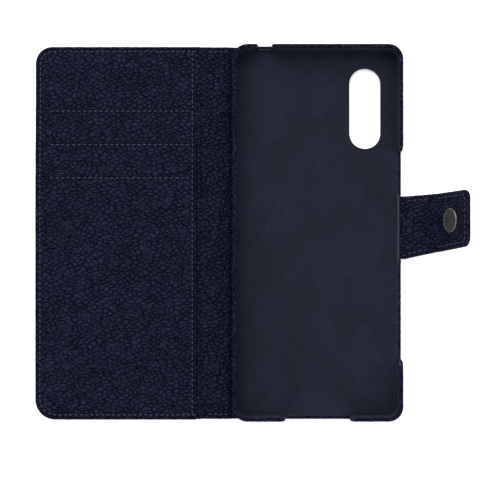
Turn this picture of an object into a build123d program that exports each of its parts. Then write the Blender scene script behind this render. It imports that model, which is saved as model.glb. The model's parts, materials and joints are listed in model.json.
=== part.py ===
"""Book-style wallet case for a tall, slim phone, lying open on its back.

Millimetres. The origin is the centre of the shell's back face, which lies on the plane Z = 0.
+X runs from the spine towards the clasp strap, +Y towards the top of the phone and +Z out of the shell.
The outer leather is one sheet in the real case, here cut at each fold so that every body is rigid.
"""

import os
from math import cos, radians, sin

from build123d import *

# The phone that the shell holds
PHONE_WIDTH = 71.6
PHONE_LENGTH = 163.0
PHONE_THICKNESS = 8.2
PHONE_CLEARANCE = 0.2

# Sheet thicknesses
LEATHER = 0.8
INNER_LEATHER = 0.4
SLOT_LEATHER = 0.4
COVER_BOARD = 0.5
SPINE_STRIP = 0.2
STRAP_LEATHER = 0.9
STRAP_TONGUE = 0.6
TAB_STIFFENER = 0.25

# Shell
TRAY_FLOOR = 1.2
TRAY_WALL = 0.9
TRAY_CORNER_RADIUS = 5.8
TRAY_LINING = 0.2
WRAP_LEATHER = 0.8
RIM_TURNOVER = 0.6
RIM_ROUNDING = 0.5

# Openings in the shell
SIDE_OPENING_FROM_TOP = 45.4
SIDE_OPENING_FROM_BOTTOM = 25.1
PORT_OPENING_WIDTH = 29.0
JACK_NOTCH_WIDTH = 6.4
JACK_NOTCH_FROM_SIDE = 12.6
JACK_NOTCH_DEPTH = 6.5
SIDE_OPENING_FLARE = 4.0
PORT_OPENING_FLARE = 3.0
JACK_NOTCH_FLARE = 1.6
CAMERA_OPENING_WIDTH = 14.0
CAMERA_OPENING_LENGTH = 36.0
CAMERA_OPENING_FROM_SIDE = 7.5
CAMERA_OPENING_FROM_TOP = 8.0

# Cover
COVER_SHORTFALL = 1.7
COVER_TOP_RADIUS = 7.5
COVER_BOTTOM_RADIUS = 9.0
BOARD_INSET = 0.6
SLOT_LIPS_FROM_TOP = (27.3, 42.4, 57.3)
POCKET_SEAM_FROM_FOLD = 4.5
POCKET_SEAM_ALLOWANCE = 1.6

# Seams
THREAD_WIDTH = 0.5
THREAD_HEIGHT = 0.15
SEAM_INSET = 2.1
LIP_SEAM_INSET = 1.5
LIP_SEAM_FROM_FREE_EDGE = 6.2
SEAM_END_GAP = 0.8

# Clasp strap
STRAP_CENTRE_Y = 2.4
STRAP_SIDE_LEAN = 0.14
STRAP_TAB_LEAN = 0.07
STRAP_ROOT_WIDTH = 28.0
STRAP_SHOULDER_WIDTH = 26.0
STRAP_TIP_WIDTH = 24.0
STRAP_TIP_RADIUS = 3.8
STRAP_TONGUE_LENGTH = 18.0
STRAP_AXIS_HEIGHT = 1.25
STRAP_GAP = 0.8
TAB_LENGTH = 25.8
SIDE_PITCH = 18.0
TAB_PITCH = 50.0

# Clasp
CLASP_FROM_FOLD = 12.7
CLASP_RADIUS = 5.2
CLASP_HEIGHT = 0.7
CLASP_SKIN = 0.3
CLASP_RIM_WIDTH = 0.9
CLASP_STEM_RADIUS = 1.2
CLASP_WASHER_RADIUS = 3.4
MAGNET_CLEARANCE = 0.05
STEEL_PLATE_RADIUS = 6.0

# Stud on the cover's outside
STUD_RADIUS = 3.55
STUD_HEIGHT = 0.5
STUD_ROUNDING = 0.35
STUD_INSET = 12.6
STUD_POST_RADIUS = 0.9
STUD_WASHER_RADIUS = 2.5
STUD_WASHER_THICKNESS = 0.25

# Clearances
MOVING_CLEARANCE = 0.25
LEATHER_FOLD_GAP = 0.1
INNER_FOLD_RELIEF = 1.2
TONGUE_CLEARANCE = 0.1
PAST_FACE = 5.0

# Shell, worked out from the phone
CAVITY_WIDTH = PHONE_WIDTH + 2 * PHONE_CLEARANCE
CAVITY_LENGTH = PHONE_LENGTH + 2 * PHONE_CLEARANCE
TRAY_WIDTH = CAVITY_WIDTH + 2 * TRAY_WALL
TRAY_LENGTH = CAVITY_LENGTH + 2 * TRAY_WALL
SHELL_WIDTH = TRAY_WIDTH + 2 * WRAP_LEATHER
SHELL_LENGTH = TRAY_LENGTH + 2 * WRAP_LEATHER
SHELL_CORNER_RADIUS = TRAY_CORNER_RADIUS + WRAP_LEATHER
CAVITY_CORNER_RADIUS = TRAY_CORNER_RADIUS - TRAY_WALL
FLOOR_TOP = LEATHER + TRAY_FLOOR
SEAT = FLOOR_TOP + TRAY_LINING
RIM = SEAT + PHONE_THICKNESS

# Layers of the spine and of the cover; the stud's head lifts the cover off the resting plane
FOLD_HEIGHT = LEATHER
SPINE_TOP = LEATHER + SPINE_STRIP + INNER_LEATHER
COVER_BOTTOM = STUD_HEIGHT
COVER_BOARD_LOW = COVER_BOTTOM + LEATHER
COVER_LINING_LOW = COVER_BOARD_LOW + COVER_BOARD
COVER_LINING_TOP = COVER_LINING_LOW + INNER_LEATHER
COVER_TOP = COVER_LINING_TOP + len(SLOT_LIPS_FROM_TOP) * SLOT_LEATHER

# Folds between the shell, the spine and the cover: closed, the cover lies just above the rim
SHELL_FOLD_X = -SHELL_WIDTH / 2 - MOVING_CLEARANCE - (SPINE_TOP + THREAD_HEIGHT - FOLD_HEIGHT)
SPINE_WIDTH = RIM + MOVING_CLEARANCE + COVER_TOP + THREAD_HEIGHT - 2 * FOLD_HEIGHT
COVER_FOLD_X = SHELL_FOLD_X - SPINE_WIDTH
COVER_WIDTH = SHELL_WIDTH / 2 - COVER_SHORTFALL - SHELL_FOLD_X
FREE_EDGE_X = COVER_FOLD_X - COVER_WIDTH
HALF_LENGTH = SHELL_LENGTH / 2
POCKET_SEAM_X = COVER_FOLD_X - POCKET_SEAM_FROM_FOLD

# Strap folds: closed, the clasp disc lies just above the cover's outside
CLOSED_COVER_FACE = 2 * FOLD_HEIGHT + SPINE_WIDTH - COVER_BOTTOM
STRAP_FOLD_X = SHELL_WIDTH / 2 + STRAP_GAP + STRAP_LEATHER + THREAD_HEIGHT
SIDE_LENGTH = CLOSED_COVER_FACE + MOVING_CLEARANCE + CLASP_HEIGHT + STRAP_LEATHER - STRAP_AXIS_HEIGHT
SHOULDER_CENTRE_Y = STRAP_CENTRE_Y + STRAP_SIDE_LEAN * SIDE_LENGTH
CLASP_Y = SHOULDER_CENTRE_Y + STRAP_TAB_LEAN * CLASP_FROM_FOLD
CLASP_CLOSED_X = STRAP_FOLD_X - CLASP_FROM_FOLD
PLATE_X = COVER_FOLD_X - (CLASP_CLOSED_X - SHELL_FOLD_X)
SIDE_FRAME = Pos(STRAP_FOLD_X, 0, STRAP_AXIS_HEIGHT) * Rot(0, -SIDE_PITCH, 0)
TAB_FRAME = SIDE_FRAME * Pos(SIDE_LENGTH, 0, 0) * Rot(0, -TAB_PITCH, 0)

COVER_CORNERS = {(-1, 1): COVER_TOP_RADIUS, (-1, -1): COVER_BOTTOM_RADIUS}


def outline(x_low, x_high, y_low, y_high, corners=None):
    """A flat rectangle; corners maps a corner's (x side, y side) to its radius."""
    shape = Pos((x_low + x_high) / 2, (y_low + y_high) / 2) * Rectangle(x_high - x_low, y_high - y_low)
    for (x_side, y_side), radius in (corners or {}).items():
        corner = max(shape.vertices(), key=lambda v: x_side * v.X + y_side * v.Y)
        shape = fillet(corner, radius)
    return shape


def layer(shape, z_low, z_high):
    """A flat shape given thickness between two heights."""
    return extrude(Pos(0, 0, z_low) * shape, amount=z_high - z_low)


def block(x_low, x_high, y_low, y_high, z_low, z_high):
    return layer(outline(x_low, x_high, y_low, y_high), z_low, z_high)


def disc(x, y, radius, z_low, z_high):
    return layer(Pos(x, y) * Circle(radius), z_low, z_high)


def centred(width, length, radius):
    """A rectangle about the origin with four equal round corners."""
    return RectangleRounded(width, length, radius)


def cover_outline(inset=0.0, x_high=COVER_FOLD_X - LEATHER_FOLD_GAP):
    """The cover's outline, pulled in from its three free edges by an inset."""
    corners = {corner: radius - inset for corner, radius in COVER_CORNERS.items()}
    return outline(FREE_EDGE_X + inset, x_high, -HALF_LENGTH + inset, HALF_LENGTH - inset, corners)


def strap_outline(ends, widths, centre_y, lean, inset=0.0, tip_radius=0.0):
    """A tapering length of strap in its own frame, where u runs along it.

    centre_y is its middle's y at u = 0, and lean is how much y that middle gains per millimetre of u.
    """
    u_low, u_high = ends
    slope = (widths[1] - widths[0]) / (u_high - u_low)
    far = u_high - (inset if tip_radius else 0)
    near_half = widths[0] / 2 - inset
    far_half = (widths[0] + slope * (far - u_low)) / 2 - inset
    near_y = centre_y + lean * u_low
    far_y = centre_y + lean * far
    shape = Polygon(
        (u_low, near_y - near_half),
        (far, far_y - far_half),
        (far, far_y + far_half),
        (u_low, near_y + near_half),
        align=None,
    )
    if tip_radius:
        shape = fillet(shape.vertices().sort_by(Axis.X)[-2:], tip_radius - inset)
    return shape


def seam_band(make_outline):
    """A thread's flat band, centred on the seam inset of an outline that takes an inset."""
    return make_outline(SEAM_INSET - THREAD_WIDTH / 2) - make_outline(SEAM_INSET + THREAD_WIDTH / 2)


# Back: the shell that holds the phone

def camera_opening():
    x = CAVITY_WIDTH / 2 - CAMERA_OPENING_FROM_SIDE - CAMERA_OPENING_WIDTH / 2
    y = CAVITY_LENGTH / 2 - CAMERA_OPENING_FROM_TOP - CAMERA_OPENING_LENGTH / 2
    pill = SlotOverall(CAMERA_OPENING_LENGTH, CAMERA_OPENING_WIDTH, rotation=90)
    return layer(Pos(x, y) * pill, -PAST_FACE, RIM)


def flared_gap(low, high, bottom, flare):
    """The outline of a gap in a wall, drawn along and up the wall, with the wall's top corners rounded."""
    top = RIM + PAST_FACE
    middle = (low + high) / 2
    gap = Pos(middle, (bottom + top) / 2) * Rectangle(high - low, top - bottom)
    gap += Pos(middle, (RIM - flare + top) / 2) * Rectangle(high - low + 2 * flare, top - RIM + flare)
    for corner_x in (low - flare, high + flare):
        gap -= Pos(corner_x, RIM - flare) * Circle(flare)
    return gap


def side_opening():
    """The gap in the right wall for the buttons and the strap."""
    y_low = -CAVITY_LENGTH / 2 + SIDE_OPENING_FROM_BOTTOM
    y_high = CAVITY_LENGTH / 2 - SIDE_OPENING_FROM_TOP
    x_low = CAVITY_WIDTH / 2 - CAVITY_CORNER_RADIUS
    gap = flared_gap(y_low, y_high, FLOOR_TOP, SIDE_OPENING_FLARE)
    return extrude(Plane.YZ.offset(x_low) * gap, SHELL_WIDTH / 2 + PAST_FACE - x_low)


def end_opening(middle, width, bottom, flare, y_low):
    """A gap in the top wall, cut from y_low outwards."""
    gap = flared_gap(-middle - width / 2, -middle + width / 2, bottom, flare)
    wall_plane = Plane(origin=(0, y_low, 0), x_dir=(-1, 0, 0), z_dir=(0, 1, 0))
    return extrude(wall_plane * gap, HALF_LENGTH + PAST_FACE - y_low)


def port_opening():
    """The gap in the bottom wall for the charging plug and the loudspeaker."""
    y_low = CAVITY_LENGTH / 2 - CAVITY_CORNER_RADIUS
    return Rot(0, 0, 180) * end_opening(0, PORT_OPENING_WIDTH, FLOOR_TOP, PORT_OPENING_FLARE, y_low)


def jack_notch():
    """The notch in the top wall for a headphone plug."""
    x = -CAVITY_WIDTH / 2 + JACK_NOTCH_FROM_SIDE
    y_low = CAVITY_LENGTH / 2 - CAVITY_CORNER_RADIUS
    return end_opening(x, JACK_NOTCH_WIDTH, RIM - JACK_NOTCH_DEPTH, JACK_NOTCH_FLARE, y_low)


def strap_tongue(clearance=0.0):
    """The strap's thin inner end; a clearance widens it into the recess that it lies in."""
    x_high = STRAP_FOLD_X - STRAP_LEATHER
    half = STRAP_ROOT_WIDTH / 2 + clearance
    return block(
        SHELL_WIDTH / 2 - STRAP_TONGUE_LENGTH,
        x_high,
        STRAP_CENTRE_Y - half,
        STRAP_CENTRE_Y + half,
        LEATHER,
        LEATHER + STRAP_TONGUE,
    )


def phone_cavity():
    return layer(centred(CAVITY_WIDTH, CAVITY_LENGTH, CAVITY_CORNER_RADIUS), FLOOR_TOP, RIM + PAST_FACE)


def back_leather():
    corners = {(1, 1): SHELL_CORNER_RADIUS, (1, -1): SHELL_CORNER_RADIUS}
    x_low = SHELL_FOLD_X + LEATHER_FOLD_GAP
    panel = outline(x_low, SHELL_WIDTH / 2, -HALF_LENGTH, HALF_LENGTH, corners)
    return layer(panel, 0, LEATHER) - camera_opening()


def shell_tray():
    body = layer(centred(TRAY_WIDTH, TRAY_LENGTH, TRAY_CORNER_RADIUS), LEATHER, RIM - RIM_TURNOVER)
    body -= phone_cavity()
    body -= strap_tongue(TONGUE_CLEARANCE)
    for opening in (camera_opening(), side_opening(), port_opening(), jack_notch()):
        body -= opening
    return body


def shell_wrap():
    """Leather round the outside of the tray's wall and turned in over its rim."""
    body = layer(centred(SHELL_WIDTH, SHELL_LENGTH, SHELL_CORNER_RADIUS), LEATHER, RIM)
    body = fillet(body.faces().sort_by(Axis.Z)[-1].edges(), RIM_ROUNDING)
    body -= layer(centred(TRAY_WIDTH, TRAY_LENGTH, TRAY_CORNER_RADIUS), LEATHER, RIM - RIM_TURNOVER)
    body -= phone_cavity()
    body -= strap_tongue(TONGUE_CLEARANCE)
    for opening in (side_opening(), port_opening(), jack_notch()):
        body -= opening
    return body


def shell_lining():
    panel = centred(CAVITY_WIDTH, CAVITY_LENGTH, CAVITY_CORNER_RADIUS)
    return layer(panel, FLOOR_TOP, SEAT) - camera_opening()


# Spine

def spine_leather():
    x_low = COVER_FOLD_X + LEATHER_FOLD_GAP
    x_high = SHELL_FOLD_X - LEATHER_FOLD_GAP
    return block(x_low, x_high, -HALF_LENGTH, HALF_LENGTH, 0, LEATHER)


def spine_inner_block(z_low, z_high, end_inset=0.0):
    """A layer on the spine's inside, held back from the cover fold so that it can close."""
    x_low = COVER_FOLD_X + INNER_FOLD_RELIEF
    x_high = SHELL_FOLD_X - LEATHER_FOLD_GAP
    return block(x_low, x_high, -HALF_LENGTH + end_inset, HALF_LENGTH - end_inset, z_low, z_high)


def spine_strip():
    return spine_inner_block(LEATHER, LEATHER + SPINE_STRIP)


def spine_lining():
    return spine_inner_block(LEATHER + SPINE_STRIP, SPINE_TOP)


def spine_thread():
    """One row across each end of the spine."""
    rows = []
    for end in (-1, 1):
        y = end * (HALF_LENGTH - SEAM_INSET)
        rows.append(
            block(
                COVER_FOLD_X + INNER_FOLD_RELIEF + SEAM_END_GAP,
                SHELL_FOLD_X - SEAM_END_GAP,
                y - THREAD_WIDTH / 2,
                y + THREAD_WIDTH / 2,
                SPINE_TOP,
                SPINE_TOP + THREAD_HEIGHT,
            )
        )
    return Compound(children=rows)


# Cover

def stud_place():
    return FREE_EDGE_X + STUD_INSET, -HALF_LENGTH + STUD_INSET


def stud_hole():
    return disc(*stud_place(), STUD_POST_RADIUS, COVER_BOTTOM, COVER_LINING_LOW + STUD_WASHER_THICKNESS)


def cover_leather():
    return layer(cover_outline(), COVER_BOTTOM, COVER_BOARD_LOW) - stud_hole()


def cover_board():
    x_high = COVER_FOLD_X - INNER_FOLD_RELIEF
    body = layer(cover_outline(BOARD_INSET, x_high), COVER_BOARD_LOW, COVER_LINING_LOW)
    return body - stud_hole() - clasp_plate()


def clasp_plate():
    """Steel disc in the board, which the clasp's magnet holds to."""
    return disc(PLATE_X, CLASP_Y, STEEL_PLATE_RADIUS, COVER_BOARD_LOW, COVER_LINING_LOW)


def cover_lining():
    x_high = COVER_FOLD_X - INNER_FOLD_RELIEF
    body = layer(cover_outline(0.0, x_high), COVER_LINING_LOW, COVER_LINING_TOP)
    washer_seat = disc(
        *stud_place(), STUD_WASHER_RADIUS, COVER_LINING_LOW, COVER_LINING_LOW + STUD_WASHER_THICKNESS
    )
    return body - washer_seat


def slot_height(index):
    """Top of the slot panel with this index; index -1 is the lining under them all."""
    return COVER_LINING_TOP + (index + 1) * SLOT_LEATHER


def card_slot(index):
    """A card pocket's panel, from its lip down to the cover's bottom edge."""
    x_high = POCKET_SEAM_X + POCKET_SEAM_ALLOWANCE
    lip_y = HALF_LENGTH - SLOT_LIPS_FROM_TOP[index]
    below_lip = outline(FREE_EDGE_X, x_high, -HALF_LENGTH, lip_y)
    return layer(cover_outline(0.0, x_high) & below_lip, slot_height(index - 1), slot_height(index))


def inner_steps():
    """The y range and the height of each step of the cover's inside, from the top edge down."""
    lips = [HALF_LENGTH - lip for lip in SLOT_LIPS_FROM_TOP]
    edges = [HALF_LENGTH, *lips, -HALF_LENGTH]
    return [(edges[i + 1], edges[i], slot_height(i - 1)) for i in range(len(edges) - 1)]


def stepped_thread(band):
    """Thread that lies on the cover's inside and follows its steps."""
    runs = []
    for y_low, y_high, height in inner_steps():
        step = outline(FREE_EDGE_X, COVER_FOLD_X, y_low, y_high)
        part_band = band & step
        if part_band:
            runs += layer(part_band, height, height + THREAD_HEIGHT).solids()
    return runs


def cover_edge_thread():
    """The seam along the cover's three free edges, seen on the inside and on the outside."""
    x_high = COVER_FOLD_X - INNER_FOLD_RELIEF - SEAM_END_GAP
    band = seam_band(lambda inset: cover_outline(inset, x_high))
    outside = layer(band, COVER_BOTTOM - THREAD_HEIGHT, COVER_BOTTOM).solids()
    return Compound(children=[*stepped_thread(band), *outside])


def pocket_thread():
    """The seam along the pockets' inner side."""
    y = HALF_LENGTH - SEAM_INSET - SEAM_END_GAP
    band = outline(POCKET_SEAM_X - THREAD_WIDTH / 2, POCKET_SEAM_X + THREAD_WIDTH / 2, -y, y)
    return Compound(children=stepped_thread(band))


def slot_thread(index):
    """The row of stitches under a card pocket's lip."""
    y = HALF_LENGTH - SLOT_LIPS_FROM_TOP[index] - LIP_SEAM_INSET
    height = slot_height(index)
    x_low = FREE_EDGE_X + LIP_SEAM_FROM_FREE_EDGE
    x_high = POCKET_SEAM_X - SEAM_END_GAP
    half = THREAD_WIDTH / 2
    return block(x_low, x_high, y - half, y + half, height, height + THREAD_HEIGHT)


def cover_stud():
    """Round stud: a low domed head on the outside and a post through the leather and the board."""
    x, y = stud_place()
    head = disc(x, y, STUD_RADIUS, COVER_BOTTOM - STUD_HEIGHT, COVER_BOTTOM)
    head = fillet(head.edges().group_by(Axis.Z)[0], STUD_ROUNDING)
    return head + stud_hole()


def stud_washer():
    top = COVER_LINING_LOW + STUD_WASHER_THICKNESS
    return disc(*stud_place(), STUD_WASHER_RADIUS, COVER_LINING_LOW, top) - stud_hole()


# Strap: the stretch beside the phone

def side_outline(inset=0.0, u_low=LEATHER_FOLD_GAP, u_high=SIDE_LENGTH - LEATHER_FOLD_GAP):
    widths = STRAP_ROOT_WIDTH, STRAP_SHOULDER_WIDTH
    return strap_outline((u_low, u_high), widths, STRAP_CENTRE_Y, STRAP_SIDE_LEAN, inset)


def strap_side_leather():
    return SIDE_FRAME * layer(side_outline(), -STRAP_LEATHER, 0)


def strap_side_lining():
    return SIDE_FRAME * layer(side_outline(u_high=SIDE_LENGTH - INNER_FOLD_RELIEF), 0, STRAP_LEATHER)


def strap_side_thread():
    """A row along each edge, on both faces."""
    ends = {"u_low": SEAM_END_GAP, "u_high": SIDE_LENGTH - INNER_FOLD_RELIEF - SEAM_END_GAP}
    band = seam_band(lambda inset: side_outline(inset, **ends))
    inside = layer(band, STRAP_LEATHER, STRAP_LEATHER + THREAD_HEIGHT)
    outside = layer(band, -STRAP_LEATHER - THREAD_HEIGHT, -STRAP_LEATHER)
    return SIDE_FRAME * Compound(children=[*inside.solids(), *outside.solids()])


# Strap: the tab that folds over the cover

def tab_outline(inset=0.0, u_low=LEATHER_FOLD_GAP):
    return strap_outline(
        (u_low, TAB_LENGTH),
        (STRAP_SHOULDER_WIDTH, STRAP_TIP_WIDTH),
        SHOULDER_CENTRE_Y,
        STRAP_TAB_LEAN,
        inset,
        STRAP_TIP_RADIUS,
    )


def tab_leather():
    return TAB_FRAME * layer(tab_outline(), -STRAP_LEATHER, 0)


def clasp_disc(radius, z_low, z_high):
    return disc(CLASP_FROM_FOLD, CLASP_Y, radius, z_low, z_high)


def clasp_stem():
    return clasp_disc(CLASP_STEM_RADIUS, 0, STRAP_LEATHER + CLASP_HEIGHT - CLASP_SKIN)


def stiffener_plate():
    """The tab's stiffener in the tab's own frame, clear of the seam and of the clasp's washer."""
    plate = layer(tab_outline(SEAM_INSET + THREAD_WIDTH, INNER_FOLD_RELIEF + SEAM_END_GAP), 0, TAB_STIFFENER)
    return plate - clasp_disc(CLASP_WASHER_RADIUS + MOVING_CLEARANCE, 0, TAB_STIFFENER)


def tab_lining():
    body = layer(tab_outline(u_low=INNER_FOLD_RELIEF), 0, STRAP_LEATHER)
    body -= stiffener_plate()
    body -= clasp_disc(CLASP_WASHER_RADIUS, 0, TAB_STIFFENER)
    body -= clasp_stem()
    return TAB_FRAME * body


def tab_stiffener():
    return TAB_FRAME * stiffener_plate()


def tab_thread():
    """The seam round the tab, on both faces."""
    band = seam_band(lambda inset: tab_outline(inset, INNER_FOLD_RELIEF + SEAM_END_GAP))
    inside = layer(band, STRAP_LEATHER, STRAP_LEATHER + THREAD_HEIGHT)
    outside = layer(band, -STRAP_LEATHER - THREAD_HEIGHT, -STRAP_LEATHER)
    return TAB_FRAME * Compound(children=[*inside.solids(), *outside.solids()])


def clasp_cap():
    """Shallow metal cap with a stem through the tab's inner leather."""
    cap = clasp_disc(CLASP_RADIUS, STRAP_LEATHER, STRAP_LEATHER + CLASP_HEIGHT)
    cap = fillet(cap.edges().group_by(Axis.Z)[-1], CLASP_SKIN / 2)
    hollow_top = STRAP_LEATHER + CLASP_HEIGHT - CLASP_SKIN
    cap -= clasp_disc(CLASP_RADIUS - CLASP_RIM_WIDTH, STRAP_LEATHER, hollow_top)
    return TAB_FRAME * (cap + clasp_stem())


def clasp_magnet():
    radius = CLASP_RADIUS - CLASP_RIM_WIDTH - MAGNET_CLEARANCE
    top = STRAP_LEATHER + CLASP_HEIGHT - CLASP_SKIN
    ring = clasp_disc(radius, STRAP_LEATHER, top)
    return TAB_FRAME * (ring - clasp_disc(CLASP_STEM_RADIUS + MAGNET_CLEARANCE, STRAP_LEATHER, top))


def clasp_washer():
    ring = clasp_disc(CLASP_WASHER_RADIUS, 0, TAB_STIFFENER)
    return TAB_FRAME * (ring - clasp_disc(CLASP_STEM_RADIUS, 0, TAB_STIFFENER))


def make_parts():
    return {
        "back_leather": back_leather(),
        "shell_tray": shell_tray(),
        "shell_wrap": shell_wrap(),
        "shell_lining": shell_lining(),
        "strap_tongue": strap_tongue(),
        "spine_leather": spine_leather(),
        "spine_strip": spine_strip(),
        "spine_lining": spine_lining(),
        "spine_thread": spine_thread(),
        "cover_leather": cover_leather(),
        "cover_board": cover_board(),
        "cover_lining": cover_lining(),
        "card_slot_back": card_slot(0),
        "card_slot_middle": card_slot(1),
        "card_slot_front": card_slot(2),
        "cover_edge_thread": cover_edge_thread(),
        "pocket_thread": pocket_thread(),
        "slot_thread_back": slot_thread(0),
        "slot_thread_middle": slot_thread(1),
        "slot_thread_front": slot_thread(2),
        "clasp_plate": clasp_plate(),
        "cover_stud": cover_stud(),
        "stud_washer": stud_washer(),
        "strap_side_leather": strap_side_leather(),
        "strap_side_lining": strap_side_lining(),
        "strap_side_thread": strap_side_thread(),
        "tab_leather": tab_leather(),
        "tab_lining": tab_lining(),
        "tab_stiffener": tab_stiffener(),
        "tab_thread": tab_thread(),
        "clasp_cap": clasp_cap(),
        "clasp_magnet": clasp_magnet(),
        "clasp_washer": clasp_washer(),
    }


os.makedirs("parts", exist_ok=True)
for name, part in make_parts().items():
    part.label = name
    export_step(part, f"parts/{name}.step")

# The joint axes and the limits that close the case
side_x = STRAP_FOLD_X + SIDE_LENGTH * cos(radians(SIDE_PITCH))
side_z = STRAP_AXIS_HEIGHT + SIDE_LENGTH * sin(radians(SIDE_PITCH))
print("spine fold", round(SHELL_FOLD_X, 3), FOLD_HEIGHT)
print("cover fold", round(COVER_FOLD_X, 3), FOLD_HEIGHT)
print("strap fold", round(STRAP_FOLD_X, 3), STRAP_AXIS_HEIGHT, "range", -SIDE_PITCH, 90 - SIDE_PITCH)
print("tab fold", round(side_x, 3), round(side_z, 3), "range", -TAB_PITCH, 90 - TAB_PITCH)
print("free edge", round(FREE_EDGE_X, 3), "shell", SHELL_WIDTH, SHELL_LENGTH, "rim", RIM)
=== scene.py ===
"""Looks of the phone wallet case: pebbled leather, stitching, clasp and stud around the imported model.

Lengths are in millimetres until a mesh is made; MM turns them into metres.
"""
import json
import math

import bpy
import numpy as np
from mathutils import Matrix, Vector


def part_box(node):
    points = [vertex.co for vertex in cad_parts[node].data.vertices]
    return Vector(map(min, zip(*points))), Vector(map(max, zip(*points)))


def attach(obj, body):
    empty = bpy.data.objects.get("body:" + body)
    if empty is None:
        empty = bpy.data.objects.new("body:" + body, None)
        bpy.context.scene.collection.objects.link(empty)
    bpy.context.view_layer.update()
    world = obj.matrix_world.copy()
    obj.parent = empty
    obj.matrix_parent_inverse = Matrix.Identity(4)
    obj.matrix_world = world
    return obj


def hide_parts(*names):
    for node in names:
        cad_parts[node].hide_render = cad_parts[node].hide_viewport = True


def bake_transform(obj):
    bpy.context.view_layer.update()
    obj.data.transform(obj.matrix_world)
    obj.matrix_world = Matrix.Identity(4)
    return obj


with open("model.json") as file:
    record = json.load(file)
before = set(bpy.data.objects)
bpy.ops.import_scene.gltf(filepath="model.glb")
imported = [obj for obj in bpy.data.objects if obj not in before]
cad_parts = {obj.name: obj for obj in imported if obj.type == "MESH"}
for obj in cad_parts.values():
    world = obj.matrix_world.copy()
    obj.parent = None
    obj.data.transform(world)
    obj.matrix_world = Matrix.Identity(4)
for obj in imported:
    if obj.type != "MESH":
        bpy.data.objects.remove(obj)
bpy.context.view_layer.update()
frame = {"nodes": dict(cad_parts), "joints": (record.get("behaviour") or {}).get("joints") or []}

MM = 0.001
JOINTS = {joint["name"]: joint for joint in frame["joints"]}


def span(node):
    """Lowest and highest corner of a CAD node, in millimetres."""
    low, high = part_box(node)
    return np.array(low) / MM, np.array(high) / MM


def joint_place(name):
    return np.array(JOINTS[name]["pos_m"]) / MM


# Places and sizes that come from the model
SHELL_HIGH = span("shell_wrap")[1]
CAVITY_LOW, CAVITY_HIGH = span("shell_lining")
BACK_HIGH = span("back_leather")[1]
SPINE_HIGH = span("spine_lining")[1]
COVER_LOW, COVER_HIGH = span("cover_leather")
LINING_TOP = span("cover_lining")[1][2]
SLOT_NAMES = ("card_slot_back", "card_slot_middle", "card_slot_front")
SLOT_SPANS = [span(name) for name in SLOT_NAMES]
TONGUE_LOW, TONGUE_HIGH = span("strap_tongue")
SPINE_FOLD = joint_place("spine_fold")
COVER_FOLD = joint_place("cover_fold")
STRAP_FOLD = joint_place("strap_fold")
TAB_FOLD = joint_place("tab_fold")
MID_SPINE_X = (SPINE_FOLD[0] + COVER_FOLD[0]) / 2

# Sizes that part.py sets and the frame doesn't hold
COVER_TOP_RADIUS = 7.5
COVER_BOTTOM_RADIUS = 9.0
SHELL_RADIUS = 6.6
CAMERA_WIDTH = 14.0
CAMERA_LENGTH = 36.0
CAMERA_FROM_SIDE = 7.5
CAMERA_FROM_TOP = 8.0
SIDE_GAP_LOW = -56.6
SIDE_GAP_HIGH = 36.3
SIDE_GAP_FLARE = 4.0
PORT_GAP_HALF_WIDTH = 14.5
PORT_GAP_FLARE = 3.0
JACK_FROM_SIDE = 12.6
JACK_HALF_WIDTH = 3.2
JACK_DEPTH = 6.5
JACK_FLARE = 1.6
SEAM_INSET = 2.1
LIP_SEAM_INSET = 1.5
POCKET_SEAM_ALLOWANCE = 1.6
LIP_SEAM_FROM_FREE_EDGE = 6.2
STRAP_ROOT_WIDTH = 28.0
STRAP_SHOULDER_WIDTH = 26.0
STRAP_SIDE_LEAN = 0.14
STRAP_TAB_LEAN = 0.07
STRAP_TIP_WIDTH = 24.0
STRAP_TIP_RADIUS = 3.8
STRAP_HALF_THICKNESS = 0.9
TONGUE_HALF_THICKNESS = 0.3
SIDE_PITCH = 18.0
TAB_PITCH = 68.0
TAB_LENGTH = 25.8
CLASP_FROM_FOLD = 12.7
CLASP_RADIUS = 5.2
CLASP_HEIGHT = 0.7
STRAP_CENTRE_Y = (TONGUE_LOW[1] + TONGUE_HIGH[1]) / 2

# Look of the leather and of its seams
GRID = 0.4
FINE_GRID = 0.35
COARSE_GRID = 1.6
COARSE_BLOCK = 8
GRAIN_DEPTH = 0.2
RIM_GRAIN_DEPTH = GRAIN_DEPTH * 0.7
BACK_OFFSET = np.array([57.0, 31.0, 0.0])
GRAIN_AT_EDGE = 0.4
EDGE_BAND = 1.6
PEBBLE_SIZE = 1.58
PEBBLE_STRETCH = 1.7
PEBBLE_TURN = 47
CREASE_CELL = (10.5, 5.2)
CREASE_TURN = -20
EDGE_ROUNDING = 0.22
SEAM_GROOVE = 0.12
SEAM_GROOVE_WIDTH = 0.7
STITCH_PITCH = 2.4
STITCH_LENGTH = 1.75
STITCH_LEAN = 4.0
STITCH_FOLD_RELIEF = 2.3
THREAD_RADIUS = 0.27
LINING_THICKNESS = 0.4
LINING_TUCK = 0.5
FOLD_DIP = 0.25
FOLD_SLOPE = 1.4
SPINE_SLOPE = 1.3
SHELL_DIP = 0.35
HEM_RISE = 0.45
FAR = 99.0


# Numbers

def smoothstep(low, high, x):
    t = np.clip((x - low) / (high - low), 0, 1)
    return t * t * (3 - 2 * t)


def rectangle_distance(x, y, low, high, radii=(0, 0, 0, 0)):
    """Signed distance to a rectangle, negative inside.

    radii are those of the corners at low x low y, low x high y, high x low y and high x high y.
    """
    px = x - (low[0] + high[0]) / 2
    py = y - (low[1] + high[1]) / 2
    radius = np.where(
        px < 0,
        np.where(py < 0, radii[0], radii[1]),
        np.where(py < 0, radii[2], radii[3]),
    )
    qx = np.abs(px) - (high[0] - low[0]) / 2 + radius
    qy = np.abs(py) - (high[1] - low[1]) / 2 + radius
    return np.minimum(np.maximum(qx, qy), 0) + np.hypot(np.maximum(qx, 0), np.maximum(qy, 0)) - radius


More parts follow.
